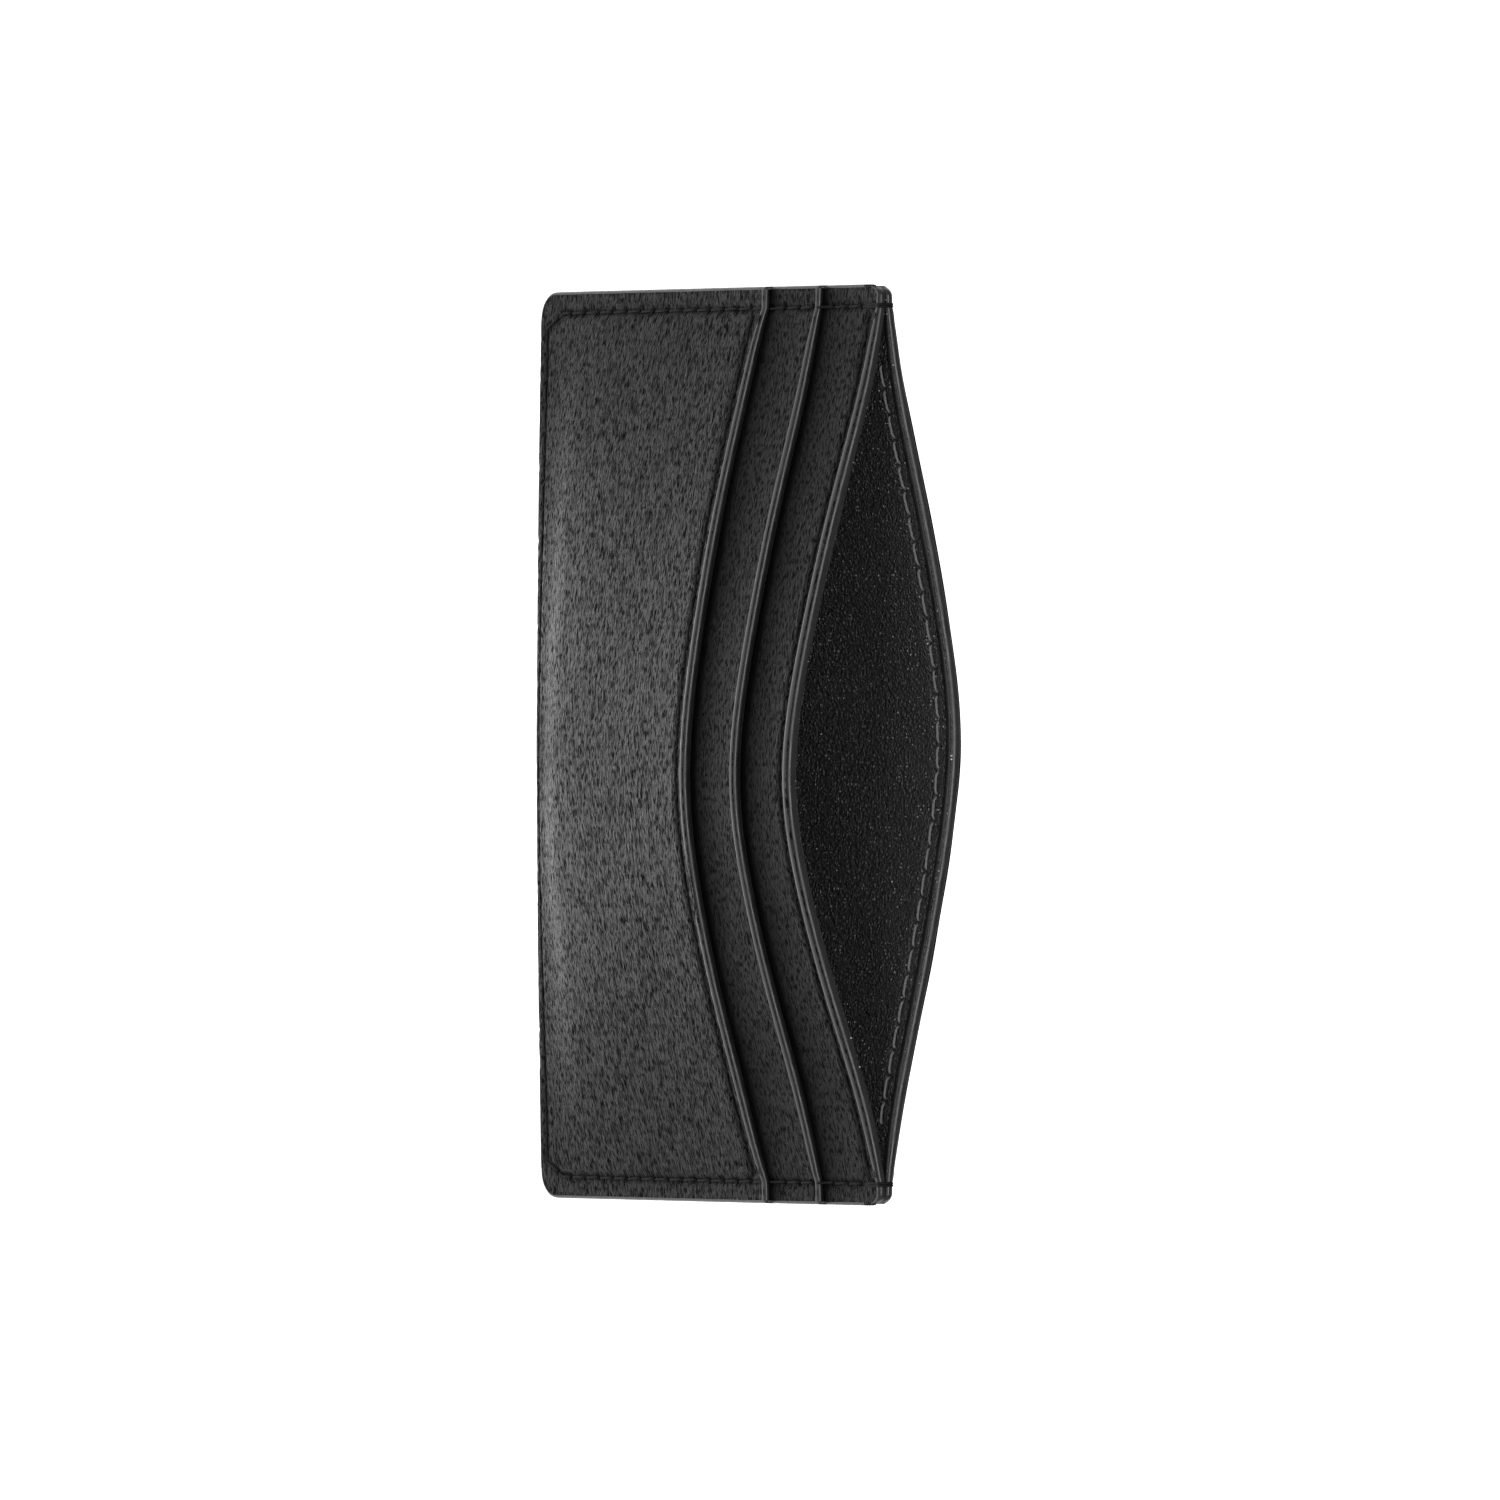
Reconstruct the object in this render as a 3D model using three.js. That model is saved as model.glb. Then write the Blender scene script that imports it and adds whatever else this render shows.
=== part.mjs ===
// Slim leather card holder, standing on its bottom seam with its mouth held open.
// Millimetres. +X runs along the width, -Y is the front, +Z points up to the mouth.
// The origin is in the middle of the bottom edge, on the plane where front and back walls meet.
import * as THREE from 'three';

// Overall size.
const WIDTH = 100;
const HEIGHT = 65;
const BOTTOM_CORNER_RADIUS = 3;
const MOUTH_CORNER = { width: 1.3, height: 3 };

// Heights of the pocket lips at the side seams.
const LOWER_POCKET_LIP = 44.7;
const UPPER_POCKET_LIP = 54.1;

// Seam: the walls are held together up to this far in from the side edges and from the bottom.
const SEAM_INSET = 2.4;
const BOTTOM_SEAM_HEIGHT = 2.6;
const SEAM_HALF_WIDTH = WIDTH / 2 - SEAM_INSET;

// How far the open mouth bows, where its crests are, and how rounded they are.
const FRONT_BOW = 9.9;
const FRONT_CREST_X = 3.5;
const FRONT_BOW_SPREAD = 9.7;
const BACK_BOW = 8.6;
const BACK_CREST_X = -0.6;
const BACK_BOW_SPREAD = 9.1;

// The side seams hold the walls back: by this share at the seam, fading over this width.
const SEAM_HOLD = 0.42;
const SEAM_HOLD_WIDTH = 14;

// Offset that keeps the bow's slope finite at the bottom edge.
const BOW_START = 1;

// Each sheet: thickness in the body, and pared down in the seam margin.
const SHEETS = {
  lowerLeather: { body: 0.7, margin: 0.5 },
  lowerLining: { body: 0.18, margin: 0.15 },
  upperLeather: { body: 0.7, margin: 0.5 },
  upperLining: { body: 0.18, margin: 0.15 },
  frontLeather: { body: 0.75, margin: 0.46 },
  frontLining: { body: 0.4, margin: 0.25 },
  backLining: { body: 0.4, margin: 0.25 },
  backLeather: { body: 0.75, margin: 0.46 },
};
const FRONT_STACK = [
  'frontLining', 'frontLeather', 'upperLining', 'upperLeather', 'lowerLining', 'lowerLeather',
];
const BACK_STACK = ['backLining', 'backLeather'];
const BODY_GAP = 0.1;
const MARGIN_GAP = 0.04;
const SIDE_PARING_WIDTH = 5;
const BOTTOM_PARING_WIDTH = 8;

// Painted edges.
const SEAM_PAINT = 0.3;
const LIP_PAINT = 0.25;
const PAINT_CLEARANCE = 0.05;

// The seam's edge paint steps down within this height at each pocket lip.
const LIP_STEP_HEIGHT = 0.02;

// The pockets gape a little at their lips, and their lips are scooped.
const POCKET_GAPE = 0.3;
const GAPE_DEPTH = 22;
const LOWER_SCOOP = 1.95;
const LOWER_SCOOP_POWER = 2.4;
const UPPER_SCOOP = 1.95;
const FRONT_SCOOP = 3.3;

// Thread.
const THREAD_RADIUS = 0.22;
const THREAD_SIDES = 5;
const THREAD_CLEARANCE = 0.14;
const INNER_THREAD_CLEARANCE = 0.3;
const LIP_ROW_DROP = 1.9;
const BACK_ROW_DROP = 2.6;
const LIP_ROW_HALF_WIDTH = 46.6;
const INNER_ROW_HALF_WIDTH = 42;
const BACK_ROW_HALF_WIDTH = 41.4;

// The seam's stitch line: just outside the fold, low along the bottom, and cut across its corners.
const SEAM_ROW_SHIFT = 0.15;
const SEAM_ROW_X = SEAM_HALF_WIDTH + SEAM_ROW_SHIFT;
const SEAM_ROW_TOP = 61.8;
const BOTTOM_ROW_HEIGHT = 1.3;
const SEAM_CHAMFER = { x: 1.6, z: 3.3, softening: 0.2 };
const SEAM_POINT_SPACING = 5;
const SEAM_POINT_CLEARANCE = 1;
const SEAM_SIDE_HEIGHTS = [8, 14, 22, 32, 40];
const LIP_CROSSING = { before: 1.5, over: 0.6, settled: 3.2, drop: 1 };

// The stitch over each end of the mouth.
const TACK = { reach: 0.34, footGap: 0.8, shoulderDrop: 0.2, roundness: 0.8, easing: 0.6 };

// Mesh layout shared by all the sheets.
const CORNER_STEPS = 4;
const MIDDLE_STEPS = 12;
const ROW_LEVELS = [1.3, 2.6, 5, 9, 15, 24, 36, 48];
const CORNER_FADE_HEIGHT = 30;
const LEAST_TOP_ROW_HEIGHT = 3;
const LIP_ROW_STEPS = 20;
const SEAM_THREAD_STEPS = 64;
const TACK_STEPS = 14;

const clamp01 = (value) => Math.min(1, Math.max(0, value));
const smoothStep = (low, high, value) => {
  const t = clamp01((value - low) / (high - low));
  return t * t * (3 - 2 * t);
};
const logCosh = (value) => Math.log(Math.cosh(value));

// Sideways shape of a bowed wall: 1 at its crest, straight flanks, 0 at both side seams.
function bowAcross(x, crest, spread) {
  const fromSeam = SEAM_HALF_WIDTH - Math.abs(x);
  if (fromSeam <= 0) return 0;
  const seam = x > crest ? SEAM_HALF_WIDTH : -SEAM_HALF_WIDTH;
  const free = 1 - logCosh((x - crest) / spread) / logCosh((seam - crest) / spread);
  return free * (1 - SEAM_HOLD * Math.exp(-((fromSeam / SEAM_HOLD_WIDTH) ** 2)));
}

// Upward shape of a bowed wall: 0 at the bottom edge, 1 at the mouth, steepest low down.
function bowUp(z) {
  const rise = Math.sqrt(Math.max(z, 0) + BOW_START) - Math.sqrt(BOW_START);
  return rise / (Math.sqrt(HEIGHT + BOW_START) - Math.sqrt(BOW_START));
}

// 0 in the pared seam margin, 1 where the sheets have their full thickness.
function bodyShare(x, z) {
  const fromSeam = Math.max(0, SEAM_HALF_WIDTH - Math.abs(x));
  const fromSides = 1 - Math.exp(-fromSeam / SIDE_PARING_WIDTH);
  const fromBottom = smoothStep(0, BOTTOM_PARING_WIDTH, z - BOTTOM_SEAM_HEIGHT);
  return fromSides * fromBottom;
}

const mix = (margin, body, share) => margin + (body - margin) * share;
const sheetThickness = (name, x, z) => mix(SHEETS[name].margin, SHEETS[name].body, bodyShare(x, z));
const sheetGap = (x, z) => mix(MARGIN_GAP, BODY_GAP, bodyShare(x, z));

// Extra room that a pocket's gaping lip adds below the pocket leather.
function gape(lip, x, z) {
  const across = 1 - (clamp01(Math.abs(x) / SEAM_HALF_WIDTH)) ** 2;
  return POCKET_GAPE * across * smoothStep(lip - GAPE_DEPTH, lip, z);
}

// Distance of a sheet's near face from the parting plane, counted outward through its stack.
function stackOffset(stack, name, x, z) {
  let offset = sheetGap(x, z) / 2;
  for (const layer of stack) {
    if (layer === 'upperLining') offset += gape(UPPER_POCKET_LIP, x, z);
    if (layer === 'lowerLining') offset += gape(LOWER_POCKET_LIP, x, z);
    if (layer === name) return offset;
    offset += sheetThickness(layer, x, z) + sheetGap(x, z);
  }
  throw new Error(`no sheet named ${name}`);
}

const frontBow = (x, z) => FRONT_BOW * bowAcross(x, FRONT_CREST_X, FRONT_BOW_SPREAD) * bowUp(z);
const backBow = (x, z) => BACK_BOW * bowAcross(x, BACK_CREST_X, BACK_BOW_SPREAD) * bowUp(z);

// The y of a sheet's outer face (away from the centre pocket) and of its inner face.
function outerFace(name, x, z) {
  const thickness = sheetThickness(name, x, z);
  if (BACK_STACK.includes(name)) return backBow(x, z) + stackOffset(BACK_STACK, name, x, z) + thickness;
  return -(frontBow(x, z) + stackOffset(FRONT_STACK, name, x, z) + thickness);
}
function innerFace(name, x, z) {
  const side = BACK_STACK.includes(name) ? 1 : -1;
  return outerFace(name, x, z) - side * sheetThickness(name, x, z);
}

// Top edge of each wall or pocket, over its edge paint.
function mouthCorner(x) {
  const past = clamp01((Math.abs(x) - (WIDTH / 2 - MOUTH_CORNER.width)) / MOUTH_CORNER.width);
  return MOUTH_CORNER.height * (1 - Math.sqrt(1 - past ** 2));
}
const LIPS = {
  lower: (x) => {
    const across = clamp01(Math.abs(x) / SEAM_HALF_WIDTH);
    return LOWER_POCKET_LIP - LOWER_SCOOP * (1 - across ** LOWER_SCOOP_POWER);
  },
  upper: (x) => UPPER_POCKET_LIP - UPPER_SCOOP * bowAcross(x, FRONT_CREST_X, FRONT_BOW_SPREAD),
  front: (x) => HEIGHT - mouthCorner(x) - FRONT_SCOOP * bowAcross(x, FRONT_CREST_X, FRONT_BOW_SPREAD),
  back: (x) => HEIGHT - mouthCorner(x),
};

// Columns of the sheets: even in the middle, with extra ones round the bottom corners.
const CORNER_CENTRE_X = WIDTH / 2 - BOTTOM_CORNER_RADIUS;
const SHEET_INSET = SEAM_PAINT + PAINT_CLEARANCE;
const SHEET_CORNER_RADIUS = BOTTOM_CORNER_RADIUS - SHEET_INSET;
const cornerAngle = (step) => (Math.PI / 2) * (step / CORNER_STEPS);
function sheetColumns() {
  const right = [SEAM_HALF_WIDTH];
  for (let step = 1; step <= CORNER_STEPS; step += 1) {
    right.push(CORNER_CENTRE_X + SHEET_CORNER_RADIUS * Math.sin(cornerAngle(step)));
  }
  const middle = [];
  for (let step = 0; step <= MIDDLE_STEPS; step += 1) {
    middle.push(CORNER_CENTRE_X * (2 * step / MIDDLE_STEPS - 1));
  }
  const left = right.map((x) => -x).reverse();
  return [...left, ...middle, ...right];
}
const COLUMNS = sheetColumns();

// Bottom edge of the sheets, following the rounded corners.
function sheetBottom(x) {
  const past = Math.abs(x) - CORNER_CENTRE_X;
  if (past <= 0) return SHEET_INSET;
  return BOTTOM_CORNER_RADIUS - Math.sqrt(Math.max(0, SHEET_CORNER_RADIUS ** 2 - past ** 2));
}

// Gives the box's -Y side the same cell diagonals as its +Y side, so that stacked sheets nest.
function matchDiagonals(geometry) {
  const index = geometry.index;
  const negativeYSide = geometry.groups[3];
  for (let first = negativeYSide.start; first < negativeYSide.start + negativeYSide.count; first += 6) {
    const [a, b, , , c, d] = Array.from({ length: 6 }, (_, n) => index.getX(first + n));
    [a, b, c, a, c, d].forEach((vertex, n) => index.setX(first + n, vertex));
  }
}

// A box of nu x nv x nw cells whose corners are moved by place(i, j, k): always one closed body.
function mappedBox(nu, nv, nw, place) {
  const geometry = new THREE.BoxGeometry(1, 1, 1, nu, nv, nw);
  matchDiagonals(geometry);
  const position = geometry.attributes.position;
  for (let index = 0; index < position.count; index += 1) {
    const i = Math.round((position.getX(index) + 0.5) * nu);
    const j = Math.round((position.getY(index) + 0.5) * nv);
    const k = Math.round((position.getZ(index) + 0.5) * nw);
    position.setXYZ(index, ...place(i, j, k));
  }
  geometry.computeVertexNormals();
  return geometry;
}

// One leather or lining sheet, from the bottom edge to just under its lip's paint.
function sheet(name, lip) {
  const top = (x) => lip(x) - LIP_PAINT - PAINT_CLEARANCE;
  const lowestTop = Math.min(...COLUMNS.map(top));
  const levels = ROW_LEVELS.filter((level) => level < lowestTop - LEAST_TOP_ROW_HEIGHT);
  const rows = levels.length + 1;
  const height = (x, k) => {
    if (k === 0) return sheetBottom(x);
    if (k === rows) return top(x);
    const level = levels[k - 1];
    return level + (sheetBottom(x) - SHEET_INSET) * Math.max(0, 1 - level / CORNER_FADE_HEIGHT);
  };
  const isBack = BACK_STACK.includes(name);
  return mappedBox(COLUMNS.length - 1, 1, rows, (i, j, k) => {
    const x = COLUMNS[i];
    const z = height(x, k);
    const wantsOuter = isBack === (j === 1);
    return [x, wantsOuter ? outerFace(name, x, z) : innerFace(name, x, z), z];
  });
}

// The painted lip over one leather and its lining.
function lipPaint(leather, lining, lip) {
  const isBack = BACK_STACK.includes(leather);
  return mappedBox(COLUMNS.length - 1, 1, 1, (i, j, k) => {
    const x = COLUMNS[i];
    const z = lip(x) - (k === 0 ? LIP_PAINT : 0);
    const wantsOuter = isBack === (j === 1);
    return [x, wantsOuter ? outerFace(leather, x, z) : innerFace(lining, x, z), z];
  });
}

// Outline of the three stitched edges, from the left end of the mouth round to the right end.
function seamOutline() {
  const marginX = WIDTH / 2;
  const top = HEIGHT - MOUTH_CORNER.height;
  const right = [];
  for (let k = 0; k <= CORNER_STEPS; k += 1) {
    const angle = cornerAngle(k);
    right.push({
      x: CORNER_CENTRE_X + BOTTOM_CORNER_RADIUS * Math.sin(angle),
      z: BOTTOM_CORNER_RADIUS * (1 - Math.cos(angle)),
      inX: -Math.sin(angle),
      inZ: Math.cos(angle),
    });
  }
  for (const lip of [LOWER_POCKET_LIP, UPPER_POCKET_LIP]) {
    right.push({ x: marginX, z: lip, inX: -1, inZ: 0 });
    right.push({ x: marginX, z: lip + LIP_STEP_HEIGHT, inX: -1, inZ: 0 });
  }
  right.push({ x: marginX, z: top, inX: -1, inZ: 0 });
  const left = right.map((point) => ({ ...point, x: -point.x, inX: -point.inX })).reverse();
  return [...left, ...right];
}

// Outermost sheet of the front at a height in the side margins.
function frontmostSheet(z) {
  if (z <= LOWER_POCKET_LIP) return 'lowerLeather';
  if (z <= UPPER_POCKET_LIP) return 'upperLeather';
  return 'frontLeather';
}

// Edge paint along the bottom and both sides. Its flat underside is what the holder stands on.
function seamPaint() {
  const outline = seamOutline();
  const margin = WIDTH / 2;
  return mappedBox(outline.length - 1, 1, 1, (i, j, k) => {
    const point = outline[i];
    const y = j === 0 ? outerFace(frontmostSheet(point.z), margin, point.z)
      : outerFace('backLeather', margin, point.z);
    const inward = k === 0 ? 0 : SEAM_PAINT;
    return [point.x + inward * point.inX, y, point.z + inward * point.inZ];
  });
}

// A thread laid along a list of points.
function thread(points, steps) {
  const section = new THREE.Shape();
  for (let side = 0; side < THREAD_SIDES; side += 1) {
    const angle = (2 * Math.PI * side) / THREAD_SIDES;
    const corner = [THREAD_RADIUS * Math.cos(angle), THREAD_RADIUS * Math.sin(angle)];
    if (side === 0) section.moveTo(...corner);
    else section.lineTo(...corner);
  }
  section.closePath();
  const path = new THREE.CatmullRomCurve3(points, false, 'centripetal');
  return new THREE.ExtrudeGeometry(section, { steps, extrudePath: path, bevelEnabled: false });
}

// A row of stitching along a lip, on the outer or inner face of its wall.
function lipStitching(face, name, lip, drop, halfWidth, clearance) {
  const outward = BACK_STACK.includes(name) === (face === outerFace) ? 1 : -1;
  const points = [];
  for (let step = 0; step <= LIP_ROW_STEPS; step += 1) {
    const x = halfWidth * (2 * step / LIP_ROW_STEPS - 1);
    const z = lip(x) - drop;
    points.push(new THREE.Vector3(x, face(name, x, z) + outward * (THREAD_RADIUS + clearance), z));
  }
  return thread(points, LIP_ROW_STEPS);
}

// Half of the seam's stitch line, from the middle of the bottom up to just under the mouth.
// The line cuts across the bottom corner and settles onto the next sheet past each pocket lip.
function halfSeamLine() {
  const line = [];
  const beforeChamfer = SEAM_ROW_X - SEAM_CHAMFER.x - SEAM_POINT_CLEARANCE;
  for (let x = SEAM_POINT_SPACING; x < beforeChamfer; x += SEAM_POINT_SPACING) {
    line.push([x, BOTTOM_ROW_HEIGHT]);
  }
  line.push([SEAM_ROW_X - SEAM_CHAMFER.x, BOTTOM_ROW_HEIGHT + SEAM_CHAMFER.softening]);
  line.push([SEAM_ROW_X - SEAM_CHAMFER.softening, BOTTOM_ROW_HEIGHT + SEAM_CHAMFER.z]);
  for (const z of SEAM_SIDE_HEIGHTS) line.push([SEAM_ROW_X, z]);
  for (const lip of [LOWER_POCKET_LIP, UPPER_POCKET_LIP]) {
    line.push([SEAM_ROW_X, lip - LIP_CROSSING.before]);
    line.push([SEAM_ROW_X, lip + LIP_CROSSING.over]);
    line.push([SEAM_ROW_X, lip + LIP_CROSSING.settled]);
  }
  line.push([SEAM_ROW_X, SEAM_ROW_TOP]);
  return line;
}

// Stitching round the three closed edges, seen on the front or on the back.
function seamStitching(faceAt, outward) {
  const half = halfSeamLine();
  const left = half.map(([x, z]) => [-x, z]).reverse();
  const line = [...left, [0, BOTTOM_ROW_HEIGHT], ...half];
  const offset = outward * (THREAD_RADIUS + THREAD_CLEARANCE);
  const points = line.map(([x, z]) => new THREE.Vector3(x, faceAt(x, z) + offset, z));
  return thread(points, SEAM_THREAD_STEPS);
}

// The front seam thread steps down past each pocket lip a little above it.
function frontSeamFace(x, z) {
  return outerFace(frontmostSheet(z - LIP_CROSSING.drop), x, z);
}

// Reinforcing stitch that wraps over the mouth at one end of it.
function mouthTack(side) {
  const x = side * SEAM_ROW_X;
  const frontY = outerFace('frontLeather', WIDTH / 2, HEIGHT) - TACK.reach;
  const backY = outerFace('backLeather', WIDTH / 2, HEIGHT) + TACK.reach;
  const foot = SEAM_ROW_TOP + TACK.footGap;
  const shoulder = HEIGHT - TACK.shoulderDrop;
  const round = HEIGHT + TACK.reach * TACK.roundness;
  const easing = TACK.reach * (1 - TACK.easing);
  const profile = [
    [frontY, foot], [frontY, shoulder], [frontY + easing, round],
    [0, HEIGHT + TACK.reach],
    [backY - easing, round], [backY, shoulder], [backY, foot],
  ];
  return thread(profile.map(([y, z]) => new THREE.Vector3(x, y, z)), TACK_STEPS);
}

// Materials.
const grainedLeather = { color: 0x1b1b1c, roughness: 0.55, metalness: 0 };
const smoothLining = { color: 0x151516, roughness: 0.6, metalness: 0 };
const pocketCloth = { color: 0x101011, roughness: 0.9, metalness: 0 };
const edgePaint = { color: 0x161617, roughness: 0.35, metalness: 0 };
const blackThread = { color: 0x121213, roughness: 0.7, metalness: 0 };
const greyThread = { color: 0x6a6a6c, roughness: 0.7, metalness: 0 };

const holder = new THREE.Group();
function add(name, geometry, look) {
  const mesh = new THREE.Mesh(geometry, new THREE.MeshStandardMaterial(look));
  mesh.name = name;
  holder.add(mesh);
}

add('lower_pocket_leather', sheet('lowerLeather', LIPS.lower), grainedLeather);
add('lower_pocket_lining', sheet('lowerLining', LIPS.lower), pocketCloth);
add('upper_pocket_leather', sheet('upperLeather', LIPS.upper), grainedLeather);
add('upper_pocket_lining', sheet('upperLining', LIPS.upper), pocketCloth);
add('front_wall_leather', sheet('frontLeather', LIPS.front), grainedLeather);
add('front_wall_lining', sheet('frontLining', LIPS.front), smoothLining);
add('back_wall_lining', sheet('backLining', LIPS.back), smoothLining);
add('back_wall_leather', sheet('backLeather', LIPS.back), grainedLeather);

add('seam_edge_paint', seamPaint(), edgePaint);
add('lower_pocket_lip_paint', lipPaint('lowerLeather', 'lowerLining', LIPS.lower), edgePaint);
add('upper_pocket_lip_paint', lipPaint('upperLeather', 'upperLining', LIPS.upper), edgePaint);
add('front_wall_lip_paint', lipPaint('frontLeather', 'frontLining', LIPS.front), edgePaint);
add('back_wall_lip_paint', lipPaint('backLeather', 'backLining', LIPS.back), edgePaint);

const lipRow = [LIP_ROW_DROP, LIP_ROW_HALF_WIDTH];
const innerRow = [LIP_ROW_DROP, INNER_ROW_HALF_WIDTH];
const backRow = [BACK_ROW_DROP, BACK_ROW_HALF_WIDTH];
add('lower_pocket_lip_stitching',
  lipStitching(outerFace, 'lowerLeather', LIPS.lower, ...lipRow, THREAD_CLEARANCE), blackThread);
add('front_wall_lip_stitching_outside',
  lipStitching(outerFace, 'frontLeather', LIPS.front, ...lipRow, THREAD_CLEARANCE), blackThread);
add('front_wall_lip_stitching_inside',
  lipStitching(innerFace, 'frontLining', LIPS.front, ...innerRow, INNER_THREAD_CLEARANCE), greyThread);
add('back_wall_lip_stitching_inside',
  lipStitching(innerFace, 'backLining', LIPS.back, ...backRow, INNER_THREAD_CLEARANCE), greyThread);
add('back_wall_lip_stitching_outside',
  lipStitching(outerFace, 'backLeather', LIPS.back, ...backRow, THREAD_CLEARANCE), blackThread);
add('seam_stitching_front', seamStitching(frontSeamFace, -1), blackThread);
add('seam_stitching_back', seamStitching((x, z) => outerFace('backLeather', x, z), 1), blackThread);
add('mouth_tack_left', mouthTack(-1), blackThread);
add('mouth_tack_right', mouthTack(1), blackThread);

export default holder;
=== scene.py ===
import math

import bpy
import numpy as np
from mathutils import Matrix, Vector
from mathutils.kdtree import KDTree


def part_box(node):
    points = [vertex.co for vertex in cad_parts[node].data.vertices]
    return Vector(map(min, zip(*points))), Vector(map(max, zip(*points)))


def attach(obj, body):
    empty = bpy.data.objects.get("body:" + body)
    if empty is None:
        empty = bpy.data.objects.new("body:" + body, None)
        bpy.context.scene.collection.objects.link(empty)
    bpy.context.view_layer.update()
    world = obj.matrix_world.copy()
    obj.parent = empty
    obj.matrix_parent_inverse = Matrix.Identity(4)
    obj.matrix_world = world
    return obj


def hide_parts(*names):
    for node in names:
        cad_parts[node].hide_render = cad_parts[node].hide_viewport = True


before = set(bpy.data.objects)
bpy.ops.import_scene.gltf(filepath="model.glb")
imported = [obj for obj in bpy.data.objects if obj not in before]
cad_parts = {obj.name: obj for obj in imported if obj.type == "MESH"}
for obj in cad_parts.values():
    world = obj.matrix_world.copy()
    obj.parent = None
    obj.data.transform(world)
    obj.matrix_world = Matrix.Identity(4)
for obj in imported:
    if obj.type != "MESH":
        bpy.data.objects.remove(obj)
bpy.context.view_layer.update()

# ---------------------------------------------------------------------------------------------
# Camera. A long lens looks down at the front of the holder, over the lower pocket and into the
# open mouth. The picture is turned so that the mouth is at its right and the left end is on top.
CAMERA_ELEVATION = math.radians(56.3)
CAMERA_DISTANCE = 2.9
PICTURE_WIDTH = 0.1657
SENSOR = 36.0
across_picture = Vector((0, math.sin(CAMERA_ELEVATION), math.cos(CAMERA_ELEVATION)))
up_picture = Vector((-1, 0, 0))
to_camera = across_picture.cross(up_picture)
looked_at = 0.02126 * across_picture + Vector((0.00055, 0, 0))

lens = bpy.data.cameras.new("camera")
lens.sensor_width = SENSOR
lens.lens = SENSOR * CAMERA_DISTANCE / PICTURE_WIDTH
lens.clip_start = 0.1
lens.clip_end = 20
camera = bpy.data.objects.new("camera", lens)
turn = Matrix((across_picture, up_picture, to_camera)).transposed()
camera.matrix_world = Matrix.Translation(looked_at + to_camera * CAMERA_DISTANCE) @ turn.to_4x4()
bpy.context.scene.collection.objects.link(camera)
bpy.context.scene.camera = camera
bpy.context.scene.view_settings.view_transform = "Standard"

# ---------------------------------------------------------------------------------------------
# Floor. A plain white light table: it glows, most of all in a ring round the holder's foot, so it
# stays white up to the foot and puts the broad soft sheen on the front of the holder.
FLOOR_SIZE = 4.0
GLOW_NEAR, GLOW_MIDDLE, GLOW_FAR = 2.3, 1.1, 0.3
RING_STARTS, RING_FULL, RING_FADES, RING_ENDS = 0.001, 0.01, 0.014, 0.06
MIDDLE_ENDS, FAR_STARTS = 0.12, 0.4


def new_finish(name, colour, roughness, ior=1.5):
    finish = bpy.data.materials.new(name)
    finish.use_nodes = True
    shader = finish.node_tree.nodes["Principled BSDF"]
    shader.inputs["Base Color"].default_value = (*colour, 1)
    shader.inputs["Roughness"].default_value = roughness
    shader.inputs["IOR"].default_value = ior
    return finish, finish.node_tree, shader


def node(tree, kind, inputs=None, **settings):
    """Adds a shader node, sets its properties, and its inputs from values or sockets."""
    made = tree.nodes.new(kind)
    for key, value in settings.items():
        setattr(made, key, value)
    for key, value in (inputs or {}).items():
        if isinstance(value, bpy.types.NodeSocket):
            tree.links.new(value, made.inputs[key])
        else:
            made.inputs[key].default_value = value
    return made


def mixed(tree, operation, a, b):
    return node(tree, "ShaderNodeMath", {0: a, 1: b}, operation=operation).outputs[0]


def ramp(tree, value, low, high, to_low=0.0, to_high=1.0):
    return node(tree, "ShaderNodeMapRange", {
        "Value": value, "From Min": low, "From Max": high, "To Min": to_low, "To Max": to_high},
        interpolation_type="SMOOTHSTEP").outputs["Result"]


floor_mesh = bpy.data.meshes.new("floor")
half_floor = FLOOR_SIZE / 2
floor_corners = [(-half_floor, -half_floor, 0), (half_floor, -half_floor, 0),
                 (half_floor, half_floor, 0), (-half_floor, half_floor, 0)]
floor_mesh.from_pydata(floor_corners, [], [(0, 1, 2, 3)])
floor = bpy.data.objects.new("floor", floor_mesh)
bpy.context.scene.collection.objects.link(floor)
white_table, tree, shader = new_finish("white_table", (0.6, 0.6, 0.6), 0.9)
place = node(tree, "ShaderNodeTexCoord").outputs["Object"]
narrowed = node(tree, "ShaderNodeVectorMath", {0: place, 1: (1.1, 1, 1)}, operation="MULTIPLY").outputs[0]
near = node(tree, "ShaderNodeVectorMath", {0: narrowed}, operation="LENGTH").outputs["Value"]
far = node(tree, "ShaderNodeVectorMath", {0: place}, operation="LENGTH").outputs["Value"]
ring = mixed(tree, "MULTIPLY", ramp(tree, near, RING_STARTS, RING_FULL),
             ramp(tree, near, RING_FADES, RING_ENDS, 1, 0))
glow = mixed(tree, "ADD", mixed(tree, "MULTIPLY", ring, GLOW_NEAR - GLOW_MIDDLE),
             ramp(tree, far, MIDDLE_ENDS, FAR_STARTS, GLOW_MIDDLE, GLOW_FAR))
shader.inputs["Emission Color"].default_value = (1, 1, 1, 1)
tree.links.new(glow, shader.inputs["Emission Strength"])
floor_mesh.materials.append(white_table)

# ---------------------------------------------------------------------------------------------
# Lights. A wide soft box in front, one overhead, a weak one on each side, and a dim white room.
ROOM_LIGHT = 0.3
world = bpy.data.worlds.new("room")
bpy.context.scene.world = world
world.use_nodes = True
world.node_tree.nodes["Background"].inputs["Color"].default_value = (1, 1, 1, 1)
world.node_tree.nodes["Background"].inputs["Strength"].default_value = ROOM_LIGHT


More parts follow.
